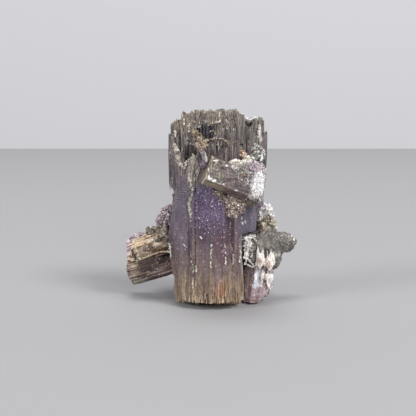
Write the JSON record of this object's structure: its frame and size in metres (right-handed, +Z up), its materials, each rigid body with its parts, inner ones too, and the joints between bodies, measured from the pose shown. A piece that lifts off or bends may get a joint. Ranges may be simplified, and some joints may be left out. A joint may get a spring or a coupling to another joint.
{
  "type": "aragonite cluster",
  "caption": "Upright ribbed aragonite column grown together with a crystal across its front, stubby side crystals, a druse and a lump of marl matrix.",
  "frame": {"origin": "middle of the cluster's footprint, on the surface that it stands on", "axes": "+Z up along the main crystal, +X to the viewer's right, the crystal that lies across the column looks towards -Y"},
  "size_m": [0.0414, 0.0296, 0.0451],
  "materials": {
    "violet_aragonite": "ribbed, frosted crystal: violet in the middle, grey-olive towards the top, tan at the foot",
    "clear_aragonite": "glassy, pale grey-mauve, sparkling white druse at one end",
    "stained_aragonite": "frosted, stained brown and tan along its striae",
    "mauve_aragonite": "mauve, glossy on broken faces, white flakes",
    "marl": "matt olive-grey marl with white and rusty crusts"
  },
  "bodies": {
    "root": {"main_crystal": "violet_aragonite", "cross_crystal": "clear_aragonite", "upper_left_crystal": "stained_aragonite", "lower_left_crystal": "stained_aragonite", "right_foot_crystal": "mauve_aragonite", "left_druse": "mauve_aragonite", "matrix": "marl"}
  },
  "joints": []
}
